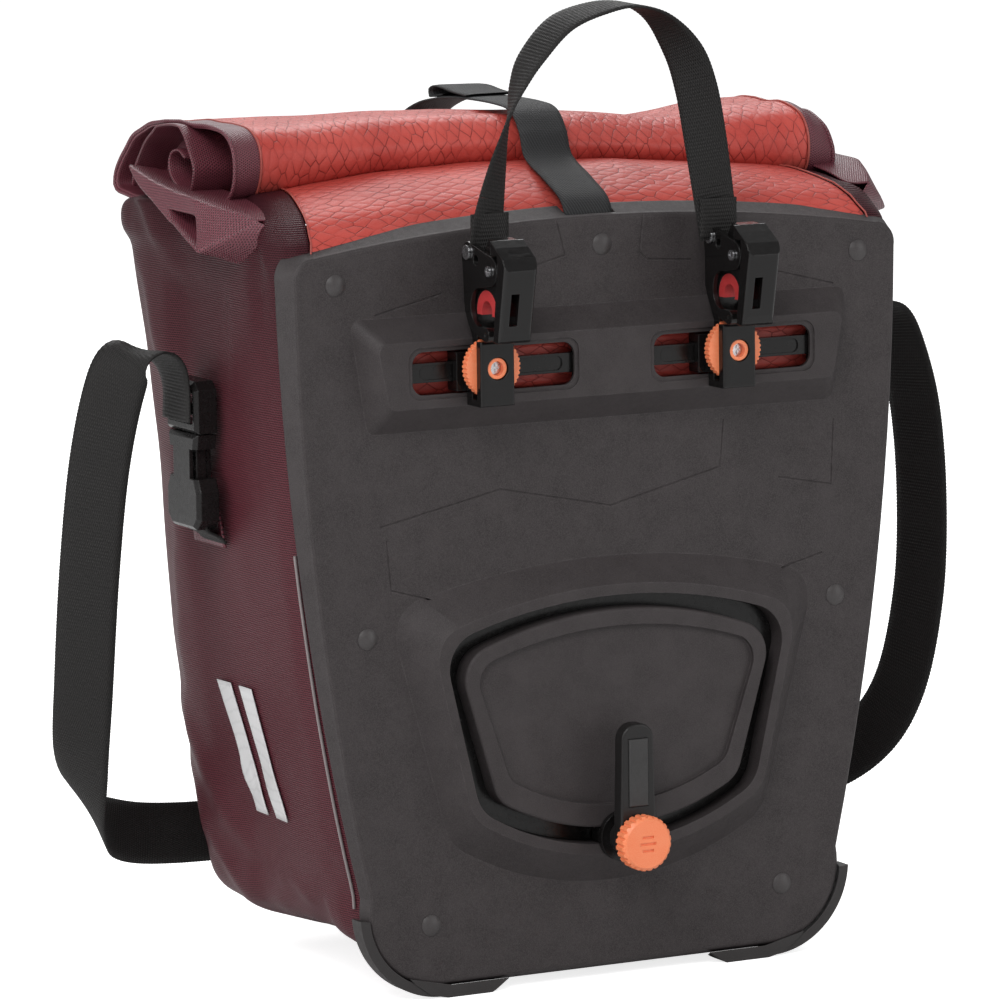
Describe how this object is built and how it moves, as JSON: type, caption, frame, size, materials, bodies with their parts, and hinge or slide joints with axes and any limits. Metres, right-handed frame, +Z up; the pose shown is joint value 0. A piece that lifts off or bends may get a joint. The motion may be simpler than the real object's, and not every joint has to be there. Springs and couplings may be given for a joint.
{
  "type": "roll-top pannier bag",
  "caption": "Roll-top rear pannier with a hard back panel, sliding rack hooks with a pull handle, a swivelling lower hook in a curved track and a removable shoulder strap.",
  "frame": {"origin": "on the axis of the rack rail that the two upper hooks hold, in the bag's middle plane", "axes": "+X across the bag along the rail, +Y from the rack into the bag, +Z up"},
  "size_m": [0.4672, 0.2749, 0.4599],
  "materials": {
    "panel": "moulded, fine grain",
    "guard": "satin",
    "rivet": "satin",
    "steel": "bright zinc",
    "hook_plastic": "glossy black",
    "arm_plastic": "satin",
    "pad": "matt grey",
    "orange": "satin",
    "red_liner": "satin",
    "red_fabric": "coated, glossy",
    "side_fabric": "coated weave",
    "reflective": "reflective film",
    "webbing": "ribbed webbing",
    "buckle": "satin black",
    "stiffener": "plain"
  },
  "bodies": {
    "root": {"back_panel": "panel", "track_plate": "panel", "centre_shield": "panel", "corner_guard_left": "guard", "corner_guard_right": "guard", "panel_rivets": "rivet", "rivet_washers": "steel", "hook_rail_left": "hook_plastic", "hook_rail_right": "hook_plastic", "bag_front": "red_fabric", "bag_neck": "red_fabric", "bag_back": "red_fabric", "roll_top": "red_fabric", "bag_side_left": "side_fabric", "bag_side_right": "side_fabric", "bag_bottom": "side_fabric", "roll_end_left": "side_fabric", "roll_end_right": "side_fabric", "side_reflector_left": "reflective", "side_reflector_right": "reflective", "panel_piping_left": "reflective", "panel_piping_right": "reflective", "closure_strap": "webbing", "closure_anchor": "webbing", "buckle_patch_left": "webbing", "buckle_patch_right": "webbing", "side_socket_left": "buckle", "side_socket_right": "buckle", "closure_socket": "buckle", "roll_stiffener": "stiffener"},
    "hook_left": {"hook_slider_left": "hook_plastic", "hook_body_left": "hook_plastic", "tube_insert_left": "red_liner", "pivot_screw_left": "steel"},
    "wheel_left": {"thumbwheel_left": "orange", "clamp_screw_left": "steel"},
    "lever_left": {"hook_lever_left": "hook_plastic", "handle_pin_left": "steel"},
    "hook_right": {"hook_slider_right": "hook_plastic", "hook_body_right": "hook_plastic", "tube_insert_right": "red_liner", "pivot_screw_right": "steel"},
    "wheel_right": {"thumbwheel_right": "orange", "clamp_screw_right": "steel"},
    "lever_right": {"hook_lever_right": "hook_plastic", "handle_pin_right": "steel"},
    "handle": {"carry_handle": "webbing"},
    "track_carriage": {"track_shoe": "hook_plastic"},
    "strut_hook": {"strut_arm": "arm_plastic", "arm_pad": "pad"},
    "knob": {"clamp_knob": "orange", "knob_screw": "steel"},
    "strap_clips": {"side_plug_left": "buckle", "side_plug_right": "buckle"},
    "shoulder_loop": {"shoulder_strap": "webbing"},
    "closure_clip": {"closure_strap_end": "webbing", "closure_plug": "buckle"}
  },
  "joints": [
    {"name": "hook_left_slide", "type": "slide", "parent": "root", "child": "hook_left", "axis": [1, 0, 0], "range_m": [-0.0185, 0.0305]},
    {"name": "thumbwheel_left_turn", "type": "hinge", "parent": "hook_left", "child": "wheel_left", "pos_m": [-0.069, 0.0074, -0.0265], "axis": [0, 1, 0], "continuous": true},
    {"name": "hook_right_slide", "type": "slide", "parent": "root", "child": "hook_right", "axis": [1, 0, 0], "range_m": [-0.0195, 0.0295]},
    {"name": "thumbwheel_right_turn", "type": "hinge", "parent": "hook_right", "child": "wheel_right", "pos_m": [0.058, 0.0074, -0.0265], "axis": [0, 1, 0], "continuous": true},
    {"name": "handle_pull", "type": "slide", "parent": "root", "child": "handle", "axis": [0, 0, 1], "range_m": [0, 0.007]},
    {"name": "lever_left_swing", "type": "hinge", "parent": "hook_left", "child": "lever_left", "pos_m": [-0.069, -0.0085, 0.0195], "axis": [1, 0, 0], "range_deg": [0, 20]},
    {"name": "lever_right_swing", "type": "hinge", "parent": "hook_right", "child": "lever_right", "pos_m": [0.058, -0.0085, 0.0195], "axis": [1, 0, 0], "range_deg": [0, 20]},
    {"name": "lower_hook_travel", "type": "hinge", "parent": "root", "child": "track_carriage", "pos_m": [0, 0.0215, -0.126], "axis": [0, 1, 0], "range_deg": [-22, 22]},
    {"name": "strut_hook_swing", "type": "hinge", "parent": "track_carriage", "child": "strut_hook", "pos_m": [0, 0.0035, -0.253], "axis": [0, 1, 0], "continuous": true},
    {"name": "knob_turn", "type": "hinge", "parent": "strut_hook", "child": "knob", "pos_m": [0, -0.0045, -0.253], "axis": [0, 1, 0], "continuous": true},
    {"name": "strap_unclip", "type": "slide", "parent": "root", "child": "strap_clips", "axis": [0, 0, 1], "range_m": [0, 0.035]},
    {"name": "shoulder_strap_swing", "type": "hinge", "parent": "strap_clips", "child": "shoulder_loop", "pos_m": [0, 0.1205, -0.0395], "axis": [1, 0, 0], "range_deg": [0, 160]},
    {"name": "closure_release", "type": "slide", "parent": "root", "child": "closure_clip", "axis": [0, 0, 1], "range_m": [0, 0.028]}
  ],
  "couplings": [
    {"joint": "lever_left_swing", "follows": "handle_pull", "rad_per_m": 49.8},
    {"joint": "lever_right_swing", "follows": "handle_pull", "rad_per_m": 49.8}
  ]
}
